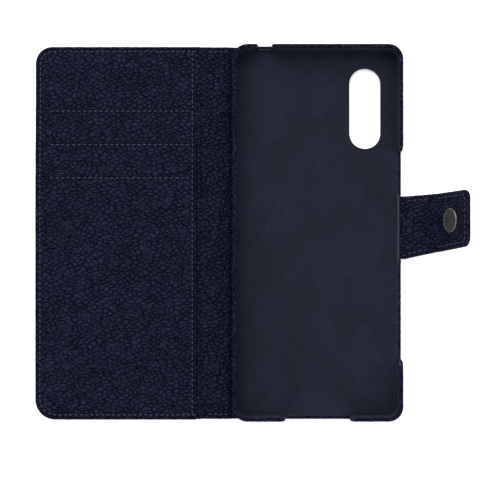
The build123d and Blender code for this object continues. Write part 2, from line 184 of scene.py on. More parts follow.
def camera_distance(x, y):
    """Signed distance to the rounded slot for the phone's camera."""
    centre_x = CAVITY_HIGH[0] - CAMERA_FROM_SIDE - CAMERA_WIDTH / 2
    centre_y = CAVITY_HIGH[1] - CAMERA_FROM_TOP - CAMERA_LENGTH / 2
    straight = (CAMERA_LENGTH - CAMERA_WIDTH) / 2
    dy = np.maximum(np.abs(y - centre_y) - straight, 0)
    return np.hypot(x - centre_x, dy) - CAMERA_WIDTH / 2


def grid_line(low, high, step=GRID):
    return np.linspace(low, high, max(2, round((high - low) / step) + 1))


def arc_points(centre, radius, start, end, count=12):
    """Points on an arc between two angles in degrees."""
    angles = np.radians(np.linspace(start, end, count))
    return [(centre[0] + radius * math.cos(a), centre[1] + radius * math.sin(a)) for a in angles]

# Nodes

class Nodes:
    """Short ways to add nodes to a tree. Each gives the new node's outputs, or one of them."""

    def __init__(self, tree):
        self.tree = tree

    def feed(self, socket, value):
        """Link an output to the socket, or set the socket to a value."""
        if isinstance(value, bpy.types.NodeSocket):
            self.tree.links.new(value, socket)
        else:
            socket.default_value = value

    def add(self, kind, inputs=None, **settings):
        made = self.tree.nodes.new(kind)
        for name, value in settings.items():
            setattr(made, name, value)
        for key, value in (inputs or {}).items():
            self.feed(made.inputs[key], value)
        return made.outputs

    def maths(self, operation, a, b=0.0):
        return self.add("ShaderNodeMath", {0: a, 1: b}, operation=operation)[0]

    def times(self, a, b):
        return self.maths("MULTIPLY", a, b)

    def plus(self, a, b):
        return self.maths("ADD", a, b)

    def ranged(self, value, low, high, to_low=0.0, to_high=1.0):
        """A smooth step from to_low at low to to_high at high."""
        inputs = {"Value": value, "From Min": low, "From Max": high, "To Min": to_low, "To Max": to_high}
        return self.add("ShaderNodeMapRange", inputs, interpolation_type="SMOOTHSTEP")["Result"]

    def vector(self, operation, a, b):
        return self.add("ShaderNodeVectorMath", {0: a, 1: b}, operation=operation)[0]

    def scaled(self, vector, scale):
        return self.vector("MULTIPLY", vector, scale)

    def split(self, vector):
        return self.add("ShaderNodeSeparateXYZ", {0: vector})

    def turned(self, vector, degrees):
        inputs = {"Vector": vector, "Axis": (0, 0, 1), "Angle": math.radians(degrees)}
        return self.add("ShaderNodeVectorRotate", inputs, rotation_type="AXIS_ANGLE")[0]

    def noise(self, vector, scale, detail=2.0, roughness=0.5, output=0):
        inputs = {"Vector": vector, "Scale": scale, "Detail": detail, "Roughness": roughness}
        return self.add("ShaderNodeTexNoise", inputs)[output]

    def warped(self, vector, scale, amount):
        """The vector pushed about by smooth noise."""
        push = self.vector("SUBTRACT", self.noise(vector, scale, 1.0, output="Color"), (0.5, 0.5, 0.5))
        return self.vector("ADD", vector, self.scaled(push, (amount, amount, amount)))

    def cell_edges(self, vector, randomness):
        """Distance to the nearest edge between irregular cells about 1 wide."""
        inputs = {"Vector": vector, "Scale": 1.0, "Randomness": randomness}
        settings = {"feature": "DISTANCE_TO_EDGE", "voronoi_dimensions": "2D"}
        return self.add("ShaderNodeTexVoronoi", inputs, **settings)["Distance"]

    def mixed(self, factor, a, b, blend="MIX"):
        return self.add("ShaderNodeMix", {0: factor, 6: a, 7: b}, data_type="RGBA", blend_type=blend)[2]

    def shaded(self, colour, share):
        return self.mixed(1.0, colour, share, "MULTIPLY")


class Look(Nodes):
    """A material in the making."""

    def __init__(self, name):
        self.material = bpy.data.materials.new(name)
        self.material.use_nodes = True
        super().__init__(self.material.node_tree)

    def attribute(self, name):
        return self.add("ShaderNodeAttribute", attribute_name=name)["Vector"]

    def place(self):
        """Object coordinates in millimetres, for pieces that don't bend."""
        return self.scaled(self.add("ShaderNodeTexCoord")["Object"], (1 / MM, 1 / MM, 1 / MM))

    def bump(self, height, distance, strength=1.0):
        return self.add("ShaderNodeBump", {"Height": height, "Distance": distance, "Strength": strength})[0]

    def finished(self, colour, roughness, others):
        """The material, once its surface is given these and the others, by their sockets' names."""
        surface = self.tree.nodes["Principled BSDF"].inputs
        for name, value in {"Base Color": colour, "Roughness": roughness, **others}.items():
            self.feed(surface[name], value)
        return self.material


# Grain: one set of nodes, used for the shape and again in the material

def grain(nodes, place):
    """Height of pebbled leather, 0 in a crease and 1 on a pebble, at a point in millimetres."""
    ruffled = nodes.warped(nodes.warped(place, 0.13, 4.0), 0.7, 0.5)
    squat = nodes.turned(nodes.scaled(ruffled, (1 / PEBBLE_STRETCH, 1, 1)), PEBBLE_TURN)
    cells = nodes.cell_edges(nodes.scaled(squat, (1 / PEBBLE_SIZE, 1 / PEBBLE_SIZE, 1)), 0.76)
    pebble = nodes.ranged(cells, -0.05, 0.36)
    faint = nodes.ranged(nodes.noise(place, 0.38), 0.45, 0.7, 0.0, 0.38)
    pebble = nodes.plus(pebble, nodes.times(nodes.maths("SUBTRACT", 1.0, pebble), faint))
    creases = nodes.scaled(nodes.turned(ruffled, CREASE_TURN), (1 / CREASE_CELL[0], 1 / CREASE_CELL[1], 1))
    fold = nodes.ranged(nodes.cell_edges(creases, 0.9), -0.01, 0.07, 0.32, 1.0)
    level = nodes.ranged(nodes.noise(place, 0.42, 1.0), 0.3, 0.7, 0.76, 1.0)
    return nodes.times(nodes.times(pebble, fold), level)


def probe_group():
    """A geometry node group that stores the grain's height at each point."""
    tree = bpy.data.node_groups.new("grain_probe", "GeometryNodeTree")
    for way in ("INPUT", "OUTPUT"):
        tree.interface.new_socket("Geometry", in_out=way, socket_type="NodeSocketGeometry")
    nodes = Nodes(tree)
    height = grain(nodes, nodes.add("GeometryNodeInputPosition")[0])
    inputs = {"Geometry": nodes.add("NodeGroupInput")[0], "Name": "height", "Value": height}
    stored = nodes.add("GeometryNodeStoreNamedAttribute", inputs, data_type="FLOAT", domain="POINT")[0]
    tree.links.new(stored, tree.nodes.new("NodeGroupOutput").inputs[0])
    return tree


PROBE = probe_group()


def grain_heights(points):
    """The grain's height at each of the points."""
    mesh = bpy.data.meshes.new("probe")
    mesh.vertices.add(len(points))
    mesh.vertices.foreach_set("co", np.asarray(points, np.float32).ravel())
    carrier = bpy.data.objects.new("probe", mesh)
    bpy.context.scene.collection.objects.link(carrier)
    carrier.modifiers.new("grain", "NODES").node_group = PROBE
    depsgraph = bpy.context.evaluated_depsgraph_get()
    depsgraph.update()
    found = carrier.evaluated_get(depsgraph).data.attributes["height"]
    heights = np.zeros(len(points), np.float32)
    found.data.foreach_get("value", heights)
    bpy.data.objects.remove(carrier)
    bpy.data.meshes.remove(mesh)
    return heights.astype(float)


# Meshes

def make_object(name, points, faces, material, attributes=None, sharp=50):
    """An object from points in millimetres, with smooth shading and named attributes."""
    mesh = bpy.data.meshes.new(name)
    mesh.from_pydata((np.asarray(points) * MM).tolist(), [], faces)
    for key, values in (attributes or {}).items():
        values = np.asarray(values, np.float32)
        kind = "FLOAT" if values.ndim == 1 else "FLOAT_VECTOR"
        stored = mesh.attributes.new(key, kind, "POINT")
        stored.data.foreach_set("value" if kind == "FLOAT" else "vector", values.ravel())
    mesh.shade_smooth()
    mesh.set_sharp_from_angle(angle=math.radians(sharp))
    mesh.materials.append(material)
    made = bpy.data.objects.new(name, mesh)
    bpy.context.scene.collection.objects.link(made)
    return made


def seam_place(x, y, paths):
    """For each point, how many stitches along the nearest seam it is, and how far from it."""
    best = np.full(x.shape, FAR)
    along = np.full(x.shape, 0.5)
    for path in paths:
        path = np.asarray(path, float)
        pitch = even_pitch(path)
        start = 0.0
        for a, b in zip(path[:-1], path[1:]):
            step = b - a
            length = math.hypot(*step)
            t = np.clip(((x - a[0]) * step[0] + (y - a[1]) * step[1]) / length**2, 0, 1)
            away = np.hypot(x - a[0] - t * step[0], y - a[1] - t * step[1])
            closer = away < best
            best = np.where(closer, away, best)
            along = np.where(closer, (start + t * length) / pitch, along)
            start += length
    return along, best


def even_pitch(path):
    """The stitch pitch that fits a whole number of stitches into a path."""
    length = float(np.hypot(*np.diff(path, axis=0).T).sum())
    return length / max(1, round(length / STITCH_PITCH))


class Layout:
    """Grid cells inside an outline, with the rim's points moved onto it."""

    def __init__(self, xs, ys, distance):
        nx, ny = len(xs), len(ys)
        centre_x, centre_y = (xs[1:] + xs[:-1]) / 2, (ys[1:] + ys[:-1]) / 2
        self.keep = distance(*np.meshgrid(centre_x, centre_y, indexing="ij")) < 0
        cells = np.zeros((nx, ny), int)
        for i in (0, 1):
            for j in (0, 1):
                cells[i : nx - 1 + i, j : ny - 1 + j] += self.keep
        grid_x, grid_y = np.meshgrid(xs, ys, indexing="ij")
        self.rim = (cells > 0) & (cells < 4)
        x, y = grid_x[self.rim], grid_y[self.rim]
        nudge = 0.01
        for _ in range(4):
            away = distance(x, y)
            slope_x = (distance(x + nudge, y) - distance(x - nudge, y)) / (2 * nudge)
            slope_y = (distance(x, y + nudge) - distance(x, y - nudge)) / (2 * nudge)
            x = x - away * slope_x
            y = y - away * slope_y
        size = np.maximum(np.hypot(slope_x, slope_y), 1e-6)
        grid_x[self.rim], grid_y[self.rim] = x, y
        used = cells > 0
        self.number = np.full((nx, ny), -1)
        self.number[used] = np.arange(used.sum())
        self.x, self.y = grid_x[used], grid_y[used]
        self.out_x, self.out_y = np.zeros(len(self.x)), np.zeros(len(self.x))
        rim_numbers = self.number[self.rim]
        self.out_x[rim_numbers] = slope_x / size
        self.out_y[rim_numbers] = slope_y / size
        self.is_rim = self.rim[used]

    def quads(self):
        i, j = np.nonzero(self.keep)
        n = self.number
        return np.stack([n[i, j], n[i + 1, j], n[i + 1, j + 1], n[i, j + 1]], axis=1)

    def rim_edges(self):
        """Edges on the rim, with the sheet on their left."""
        n = self.number
        padded = np.pad(self.keep, 1)
        inner = padded[1:-1, 1:-1]
        edges = []
        for (di, dj), (a, b) in {
            (0, -1): ((0, 0), (1, 0)),
            (1, 0): ((1, 0), (1, 1)),
            (0, 1): ((1, 1), (0, 1)),
            (-1, 0): ((0, 1), (0, 0)),
        }.items():
            beside = padded[1 + di : padded.shape[0] - 1 + di, 1 + dj : padded.shape[1] - 1 + dj]
            i, j = np.nonzero(inner & ~beside)
            edges.append(np.stack([n[i + a[0], j + a[1]], n[i + b[0], j + b[1]]], axis=1))
        return np.concatenate(edges)

    def coarse_faces(self):
        """The same area in few faces, which still meet every point on the rim."""
        n, keep, step = self.number, self.keep, COARSE_BLOCK
        rows, columns = keep.shape
        whole = {}
        active = self.rim.copy()
        for i in range(0, rows, step):
            for j in range(0, columns, step):
                i_end, j_end = min(i + step, rows), min(j + step, columns)
                block = keep[i:i_end, j:j_end]
                whole[i, j] = (i_end, j_end, bool(block.all()))
                if block.any() and not block.all():
                    for a, b in zip(*np.nonzero(block)):
                        active[i + a : i + a + 2, j + b : j + b + 2] = True
        faces = []
        for (i, j), (i_end, j_end, full) in whole.items():
            if full:
                ring = [(a, j) for a in range(i, i_end)]
                ring += [(i_end, b) for b in range(j, j_end)]
                ring += [(a, j_end) for a in range(i_end, i, -1)]
                ring += [(i, b) for b in range(j_end, j, -1)]
                corners = {(i, j), (i_end, j), (i_end, j_end), (i, j_end)}
                faces.append([n[p] for p in ring if p in corners or active[p]])
            else:
                for a, b in zip(*np.nonzero(keep[i:i_end, j:j_end])):
                    a, b = a + i, b + j
                    faces.append([n[a, b], n[a + 1, b], n[a + 1, b + 1], n[a, b + 1]])
        return faces


# Profiles of a rim, as rings: how far each stands out, and how far down the thickness it is
PLAIN_RIM = ((0.05, 0.3), (0.05, 0.7))
DOUBLE_RIM = ((0.08, 0.1), (0.1, 0.3), (-0.05, 0.46), (-0.05, 0.54), (0.1, 0.7), (0.08, 0.9))


def round_rim(radius, thickness, flat_rings=4, corner_rings=4):
    """A rim whose two corners are rounded, for a wall of this thickness."""
    angles = np.radians(np.linspace(0, 90, corner_rings + 1))[1:]
    corner = [(radius * math.sin(a), radius * (1 - math.cos(a)) / thickness) for a in angles]
    start = corner[-1][1]
    flat = [(radius, share) for share in np.linspace(start, 1 - start, flat_rings + 2)[1:-1]]
    return tuple(corner + flat + [(out, 1 - share) for out, share in reversed(corner)])


def rim_normals(rings, thickness):
    """Outward and upward part of the normal at each ring."""
    out = np.array([0.0] + [ring[0] for ring in rings] + [0.0])
    down = np.array([0.0] + [ring[1] for ring in rings] + [1.0]) * thickness
    d_out = out[2:] - out[:-2]
    d_down = down[2:] - down[:-2]
    size = np.hypot(d_out, d_down)
    return d_down / size, d_out / size


def make_sheet(
    name, xs, ys, distance, face, back, seams=(), edge=None, side=1, both=False, rim=PLAIN_RIM,
    rounding=EDGE_ROUNDING, offset=(0, 0, 0), place=None, calm=None, edge_shade_and_wear=True,
):
    """A leather panel whose visible face has the grain's shape.

    face and back give the heights of its two faces at a point. side is 1 where the visible face is the
    upper one. both puts the grain on the back too. edge is the distance to a real edge, where the outline
    also has cuts that another panel continues. calm gives the share of the grain's depth that is left at a
    point. offset picks the part of the grain's pattern that the panel has. place maps flat points to where
    they are in the case. edge_shade_and_wear darkens the leather outside its seam as painted shade, and lets
    its very edge be rubbed lighter as wear.
    """
    layout = Layout(xs, ys, distance)
    x, y = layout.x, layout.y
    edge = edge or (lambda px, py: -distance(px, py))
    inside = np.maximum(edge(x, y), 0)
    phase, away = seam_place(x, y, seams)
    rounded = rounding * (1 - smoothstep(0, 0.6, inside))
    groove = SEAM_GROOVE * np.exp(-((away / SEAM_GROOVE_WIDTH) ** 2))
    mask = GRAIN_AT_EDGE + (1 - GRAIN_AT_EDGE) * smoothstep(0.0, EDGE_BAND, inside)
    if calm is not None:
        mask = mask * calm(x, y)
    face_height, back_height = face(x, y), back(x, y)

    def surface(height, direction, shift):
        rest = np.stack([x, y, height], axis=1) + np.array(offset) + shift
        relief = GRAIN_DEPTH * mask * (1 - grain_heights(rest))
        return height - direction * (relief + groove + rounded), rest

    top_z, top_rest = surface(face_height, side, np.zeros(3))
    if both:
        bottom_z, bottom_rest = surface(back_height, -side, BACK_OFFSET)
    else:
        bottom_z = back_height + side * rounded
        bottom_rest = np.stack([x, y, back_height], axis=1) + np.array(offset)
    # Its third value sets the painted shade outside the seam and the rubbed wear at the edge.
    seam_data = np.stack([phase, away, inside if edge_shade_and_wear else np.full(len(x), FAR)], axis=1)
    points = [np.stack([x, y, top_z], axis=1)]
    rests, seams_out = [top_rest], [seam_data]
    rims = np.nonzero(layout.is_rim)[0]
    slot_of = np.full(len(x), -1)
    slot_of[rims] = np.arange(len(rims))
    real = 1 - smoothstep(0.25, 0.6, inside[rims])
    thickness = float(np.abs(face_height[rims] - back_height[rims]).mean())
    normal_out, normal_up = rim_normals(rim, thickness)
    across = 0.0
    last = (0.0, 0.0)
    for (stand_out, share), n_out, n_up in zip(rim, normal_out, normal_up):
        across += math.hypot(stand_out - last[0], (share - last[1]) * thickness)
        last = (stand_out, share)
        level = top_z[rims] * (1 - share) + bottom_z[rims] * share
        rest = top_rest[rims].copy()
        rest[:, 0] += layout.out_x[rims] * across
        rest[:, 1] += layout.out_y[rims] * across
        relief = real * min(1.0, thickness) * RIM_GRAIN_DEPTH * (1 - grain_heights(rest))
        shift = stand_out * real - relief * n_out
        ring_x = x[rims] + layout.out_x[rims] * shift
        ring_y = y[rims] + layout.out_y[rims] * shift
        points.append(np.stack([ring_x, ring_y, level - side * relief * n_up], axis=1))
        rests.append(rest)
        # The rims take the full painted shade of the edge, and no rubbed wear.
        seams_out.append(np.tile([0.5, FAR, 0.35 if edge_shade_and_wear else FAR], (len(rims), 1)))
    points.append(np.stack([x, y, bottom_z], axis=1))
    rests.append(bottom_rest)
    seams_out.append(seam_data)
    edges = layout.rim_edges()
    bottom_start = len(x) + len(rim) * len(rims)
    levels = [edges] + [len(x) + k * len(rims) + slot_of[edges] for k in range(len(rim))]
    levels.append(bottom_start + edges)
    faces = layout.quads().tolist()
    for upper, lower in zip(levels[:-1], levels[1:]):
        faces += np.stack([upper[:, 0], lower[:, 0], lower[:, 1], upper[:, 1]], axis=1).tolist()
    bottom = layout.quads().tolist() if both else layout.coarse_faces()
    faces += [[bottom_start + int(p) for p in reversed(loop)] for loop in bottom]
    if side < 0:
        faces = [loop[::-1] for loop in faces]
    points, rests, seams_out = np.concatenate(points), np.concatenate(rests), np.concatenate(seams_out)
    kept = np.unique(np.concatenate([np.asarray(loop) for loop in faces]))
    renumber = np.full(len(points), -1)
    renumber[kept] = np.arange(len(kept))
    faces = [renumber[loop].tolist() for loop in faces]
    points = points[kept] if place is None else place(points[kept])
    return make_object(name, points, faces, LEATHER, {"rest": rests[kept], "seam": seams_out[kept]})


# Materials

def leather_material(name, pebble, crease_shade, top_highlight_and_rubbed):
    """Pebbled leather with a fine pore grain; painted shade darkens its creases, needle holes, seam lines
    and the strip outside each seam, a painted highlight lightens the pebble tops, and its edges are rubbed
    lighter as wear.
    """
    look = Look(name)
    rest = look.attribute("rest")
    height = grain(look, rest)
    pores = look.noise(rest, 4.0, 3.0, 0.65)
    blotches = look.noise(rest, 0.11, 3.0, 0.55)
    phase, from_seam, from_edge = look.split(look.attribute("seam"))
    # Needle holes between the stitches: a dip in the bump, and painted dark as shade.
    phase = look.maths("FRACT", look.plus(phase, 0.5))
    along = look.maths("ABSOLUTE", look.times(look.maths("SUBTRACT", phase, 0.5), STITCH_PITCH))
    square = look.plus(look.maths("POWER", along, 2.0), look.maths("POWER", from_seam, 2.0))
    hole_dip_and_shade = look.ranged(look.maths("SQRT", square), 0.16, 0.38, 0.3, 1.0)
    # Creases are painted darker than the pebbles, as painted shade.
    colour = look.mixed(look.ranged(height, 0.02, 0.75), crease_shade, pebble)
    # Painted highlight: the tops of the pebbles are lightened towards this colour.
    top = look.times(look.ranged(height, 0.6, 1.0), look.ranged(pores, 0.45, 0.75))
    colour = look.mixed(look.times(top, 0.7), colour, top_highlight_and_rubbed)
    colour = look.shaded(colour, look.ranged(blotches, 0.3, 0.7, 0.82, 1.16))
    # Painted shade along each seam line and in the needle holes.
    colour = look.shaded(colour, look.ranged(from_seam, 0.15, 0.75, 0.55, 1.0))
    colour = look.shaded(colour, hole_dip_and_shade)
    # Painted shade on the strip between the seam and the edge, where the edge turns down.
    colour = look.shaded(colour, look.ranged(from_edge, 1.0, 2.2, 0.74, 1.0))
    # The very edge is lightened towards the same colour, as rubbed wear.
    rubbed = look.times(look.ranged(from_edge, 0.0, 0.3, 0.4, 0.0), look.ranged(pores, 0.35, 0.65))
    colour = look.mixed(rubbed, colour, top_highlight_and_rubbed)
    rough = look.plus(look.ranged(height, 0.0, 1.0, 0.68, 0.46), look.ranged(pores, 0.3, 0.7, -0.06, 0.06))
    fine = look.times(look.plus(look.times(pores, 0.22), height), hole_dip_and_shade)
    return look.finished(colour, rough, {"Normal": look.bump(fine, 0.0005), "Specular IOR Level": 0.035})


def thread_material(name, light, dark):
    """Twisted thread: fine diagonal plies along each stitch, painted lighter and darker across the twist as
    light and shade.
    """
    look = Look(name)
    rest = look.attribute("rest")
    waves = {"Vector": rest, "Scale": 0.8, "Distortion": 0.6, "Detail": 1.0}
    twist = look.add("ShaderNodeTexWave", waves, wave_type="BANDS", bands_direction="DIAGONAL")["Fac"]
    fuzz = look.noise(rest, 5.0, 3.0)
    shade = look.ranged(fuzz, 0.3, 0.7, 0.6, 1.2)
    # Painted light and shade: each ply is lighter on its crest and darker between plies.
    colour = look.mixed(0.35, look.mixed(twist, dark, light), shade, "MULTIPLY")
    rough = look.ranged(fuzz, 0.2, 0.8, 0.5, 0.75)
    return look.finished(colour, rough, {"Normal": look.bump(twist, 0.00006), "Specular IOR Level": 0.1})


def metal_material(name, face, rim_highlight, rim_from, roughness):
    """Turned metal: fine circles on the face, cloudy wear, and a rim painted brighter as a highlight.

    rest holds a point's radius and angle.
    """
    look = Look(name)
    rest = look.attribute("rest")
    radius = look.split(rest)[0]
    turning = look.maths("SINE", look.times(radius, 38.0))
    cloud = look.noise(rest, 0.9, 4.0, 0.6)
    scratches = look.noise(look.scaled(rest, (9.0, 0.6, 9.0)), 1.0)
    # The rim is painted brighter than the face, as a painted highlight.
    colour = look.mixed(look.ranged(radius, rim_from - 0.12, rim_from + 0.12), face, rim_highlight)
    colour = look.shaded(colour, look.ranged(cloud, 0.3, 0.7, 0.85, 1.12))
    rough = look.plus(roughness, look.times(look.maths("SUBTRACT", scratches, 0.5), 0.25))
    rough = look.maths("MAXIMUM", rough, 0.06)
    return look.finished(colour, rough, {"Normal": look.bump(turning, 0.000004, 0.6), "Metallic": 1.0})


def suede_material(name, light, dark):
    """Microfibre: a short nap, brushed into faint clouds."""
    look = Look(name)
    place = look.place()
    brushed = look.noise(look.scaled(place, (0.06, 0.045, 0.05)), 1.0, 4.0, 0.6)
    nap = look.noise(place, 2.6, 5.0, 0.75)
    colour = look.mixed(look.ranged(nap, 0.35, 0.65), dark, light)
    colour = look.shaded(colour, look.ranged(brushed, 0.35, 0.65, 0.82, 1.18))
    rough = look.ranged(brushed, 0.3, 0.7, 0.86, 0.98)
    others = {"Sheen Weight": 0.08, "Sheen Roughness": 0.4, "Specular IOR Level": 0.12}
    return look.finished(colour, rough, {"Normal": look.bump(nap, 0.00008), **others})


def plastic_material(name, colour, tint):
    """Moulded plastic with a spark-eroded texture and faint flow marks."""
    look = Look(name)
    place = look.place()
    spark = look.noise(place, 7.0, 3.0, 0.7)
    flow = look.noise(look.scaled(place, (0.08, 0.02, 0.2)), 1.0)
    mix = look.mixed(look.ranged(flow, 0.3, 0.7), colour, tint)
    mix = look.shaded(mix, look.ranged(spark, 0.3, 0.7, 0.85, 1.1))
    rough = look.ranged(spark, 0.3, 0.7, 0.42, 0.6)
    return look.finished(mix, rough, {"Normal": look.bump(spark, 0.00004), "Specular IOR Level": 0.4})


def board_material(name, colour, fleck, ink):
    """Pressed fibre board with flecks, inked at the case's top and bottom edge, where it shows."""
    look = Look(name)
    place = look.place()
    fibre = look.noise(look.scaled(place, (0.7, 4.0, 2.0)), 1.0, 4.0, 0.7)
    flecks = look.noise(place, 2.2)
    mix = look.mixed(look.ranged(flecks, 0.55, 0.7), colour, fleck)
    mix = look.shaded(mix, look.ranged(fibre, 0.3, 0.7, 0.75, 1.15))
    along = look.maths("ABSOLUTE", look.split(place)["Y"])
    mix = look.mixed(look.ranged(along, SHELL_HIGH[1] - 0.7, SHELL_HIGH[1] - 0.3), mix, ink)
    return look.finished(mix, look.ranged(fibre, 0.3, 0.7, 0.8, 0.95), {"Normal": look.bump(fibre, 0.00006)})


def steel_material(name, colour, roughness):
    """Sheet steel with rolling marks and a little tarnish."""
    look = Look(name)
    place = look.place()
    rolled = look.noise(look.scaled(place, (0.3, 7.0, 0.3)), 1.0, 3.0)
    tarnish = look.noise(place, 0.8, 4.0, 0.6)
    mix = look.shaded(colour, look.ranged(tarnish, 0.3, 0.7, 0.7, 1.1))
    rough = look.ranged(rolled, 0.3, 0.7, roughness - 0.07, roughness + 0.1)
    return look.finished(mix, rough, {"Normal": look.bump(rolled, 0.00002), "Metallic": 1.0})


# Colours: pebble, crease with painted shade, and a painted highlight for pebble tops that also lightens
# rubbed edges.
LEATHER = leather_material(
    "navy_leather", (0.0100, 0.0113, 0.0275, 1), (0.0008, 0.0012, 0.0068, 1), (0.0185, 0.0205, 0.0420, 1)
)
# Thread: a lit and a shaded tone of one navy, painted across the plies.
THREAD = thread_material("navy_thread", (0.041, 0.045, 0.086, 1), (0.024, 0.026, 0.052, 1))
# Metal colours: the face, then the rim painted brighter as a highlight.
GUNMETAL = metal_material(
    "gunmetal", (0.135, 0.135, 0.130, 1), (0.21, 0.21, 0.20, 1), CLASP_RADIUS - 0.25, 0.5
)
CHROME = metal_material("bright_metal", (0.44, 0.44, 0.45, 1), (0.66, 0.66, 0.67, 1), 2.9, 0.22)


# Leather panels of the cover, spine and back

def inner_height(x):
    """Height of the lining's face, which dips at the cover fold and at the shell."""
    fold = COVER_FOLD[0]
    dip = SPINE_HIGH[2] - FOLD_DIP
    cover = smoothstep(fold, fold - FOLD_SLOPE, x)
    spine = smoothstep(fold, fold + SPINE_SLOPE, x)
    height = dip + (LINING_TOP - dip) * cover + (SPINE_HIGH[2] - dip) * spine
    return height - SHELL_DIP * smoothstep(SPINE_HIGH[0] - 0.6, SPINE_HIGH[0] + LINING_TUCK, x)


def on_cover(x):
    """1 on the cover and 0 on the spine, with a slope at the fold between them."""
    return smoothstep(COVER_FOLD[0] + 0.6, COVER_FOLD[0] - FOLD_SLOPE, x)


def outer_height(x):
    """Height of the outer leather's visible underside."""
    return COVER_LOW[2] * on_cover(x)


def cover_distance(x, y):
    radii = (COVER_BOTTOM_RADIUS, COVER_TOP_RADIUS, 0, 0)
    return rectangle_distance(x, y, COVER_LOW[:2], (0, COVER_HIGH[1]), radii)


def outer_distance(x, y):
    radii = (COVER_BOTTOM_RADIUS, COVER_TOP_RADIUS, SHELL_RADIUS, SHELL_RADIUS)
    outline = rectangle_distance(x, y, COVER_LOW[:2], BACK_HIGH[:2], radii)
    return np.maximum(outline, -camera_distance(x, y))


def perimeter_seam(x_high):
    """The line stitched round the cover and the spine's ends."""
    low_x, low_y, high_y = COVER_LOW[0], COVER_LOW[1], COVER_HIGH[1]
    top = (low_x + COVER_TOP_RADIUS, high_y - COVER_TOP_RADIUS)
    bottom = (low_x + COVER_BOTTOM_RADIUS, low_y + COVER_BOTTOM_RADIUS)
    path = [(x_high, high_y - SEAM_INSET)]
    path += arc_points(top, COVER_TOP_RADIUS - SEAM_INSET, 90, 180)
    path += arc_points(bottom, COVER_BOTTOM_RADIUS - SEAM_INSET, 180, 270)
    return path + [(x_high, low_y + SEAM_INSET)]


POCKET_SEAM_X = SLOT_SPANS[0][1][0] - POCKET_SEAM_ALLOWANCE
LIPS = [slot_span[1][1] for slot_span in SLOT_SPANS]
EDGE_SEAM = perimeter_seam(SPINE_HIGH[0] - 0.6)
POCKET_SEAM = [(POCKET_SEAM_X, COVER_HIGH[1] - SEAM_INSET), (POCKET_SEAM_X, COVER_LOW[1] + SEAM_INSET)]
LIP_SEAMS = [
    [(x, lip - LIP_SEAM_INSET) for x in (COVER_LOW[0] + LIP_SEAM_FROM_FREE_EDGE, POCKET_SEAM_X - 0.8)]
    for lip in LIPS
]


def flap_height(x, y):
    """Height of whatever leather is uppermost on the inside of the cover and spine."""
    height = inner_height(x)
    for lip, (_, high) in zip(LIPS, SLOT_SPANS):
        height = np.where((y < lip) & (x < high[0]), high[2], height)
    return height


def coarse_then_fine(low, high, turn):
    """A grid line that is coarse below turn, where another panel hides it, and fine above."""
    return np.concatenate([grid_line(low, turn, COARSE_GRID)[:-1], grid_line(turn, high)])


def make_outer_leather():
    low, high = COVER_LOW, BACK_HIGH
    ys = grid_line(low[1], high[1])

    def back(x, y):
        hem = HEM_RISE * (1 - smoothstep(0.35, 0.7, -outer_distance(x, y)))
        return outer_height(x) + BACK_HIGH[2] + hem * on_cover(x)

    def made(name, x_low, x_high):
        return make_sheet(
            name,
            grid_line(x_low, x_high),
            ys,
            lambda x, y: np.maximum(np.maximum(outer_distance(x, y), x - x_high), x_low - x),
            lambda x, y: outer_height(x),
            back,
            seams=[EDGE_SEAM],
            edge=lambda x, y: -outer_distance(x, y),
            side=-1,
        )

    return made("outer_leather_back", MID_SPINE_X, high[0]), made("outer_leather_cover", low[0], MID_SPINE_X)


def make_inner_leather():
    x_high = SPINE_HIGH[0] + LINING_TUCK
    return make_sheet(
        "inner_leather",
        grid_line(COVER_LOW[0], x_high),
        grid_line(COVER_LOW[1], COVER_HIGH[1]),
        lambda x, y: np.maximum(cover_distance(x, y), x - x_high),
        lambda x, y: inner_height(x),
        lambda x, y: inner_height(x) - LINING_THICKNESS,
        seams=[EDGE_SEAM, POCKET_SEAM],
        offset=(400, 0, 0),
    )


def make_card_slot(index):
    low, high = SLOT_SPANS[index]
    turn = LIPS[index + 1] - 1.5 if index + 1 < len(LIPS) else low[1] + 1

    def distance(x, y):
        return np.maximum(np.maximum(cover_distance(x, y), y - high[1]), x - high[0])

    return make_sheet(
        "card_slot_leather_" + str(index + 1),
        grid_line(low[0], high[0]),
        coarse_then_fine(low[1], high[1], turn),
        distance,
        lambda x, y: np.full(x.shape, high[2]),
        lambda x, y: np.full(x.shape, low[2]),
        seams=[EDGE_SEAM, POCKET_SEAM, LIP_SEAMS[index]],
        offset=(400 + 213 * index, 307 * index, 0),
    )


# Shell: the leather that is wrapped round the tray's wall, laid out flat along the wall

WALL_THICKNESS = SHELL_HIGH[0] - CAVITY_HIGH[0] + 0.08
WALL_ROUNDING = 0.5
WALL_LOW = 0.45
WALL_TOP = SHELL_HIGH[2]
WALL_SKIN = 1.0
TURNED_IN = 1.3
COVERING = 0.15
GAP_CORNER = 0.9
STRAP_CLEARANCE = 0.3


def lengths_along(rows):
    """How far along a line each of its points is; each row starts with a point's two coordinates."""
    return np.concatenate([[0], np.cumsum(np.hypot(np.diff(rows[:, 0]), np.diff(rows[:, 1])))])


def wall_line():
    """Points and outward directions along the shell's outline, from the strap anticlockwise."""
    centre_x, centre_y = SHELL_HIGH[0] - SHELL_RADIUS, SHELL_HIGH[1] - SHELL_RADIUS
    ends = [(SHELL_HIGH[0], STRAP_CENTRE_Y, 1.0, 0.0)]
    rows = []
    for sign_x, sign_y, start in ((1, 1, 0), (-1, 1, 90), (-1, -1, 180), (1, -1, 270)):
        for angle in np.radians(np.linspace(start, start + 90, 25)):
            out_x, out_y = math.cos(angle), math.sin(angle)
            x, y = sign_x * centre_x + SHELL_RADIUS * out_x, sign_y * centre_y + SHELL_RADIUS * out_y
            rows.append((x, y, out_x, out_y))
    return np.array(ends + rows + ends)


WALL_ROWS = wall_line()
WALL_S = lengths_along(WALL_ROWS)
WALL_LENGTH = WALL_S[-1]


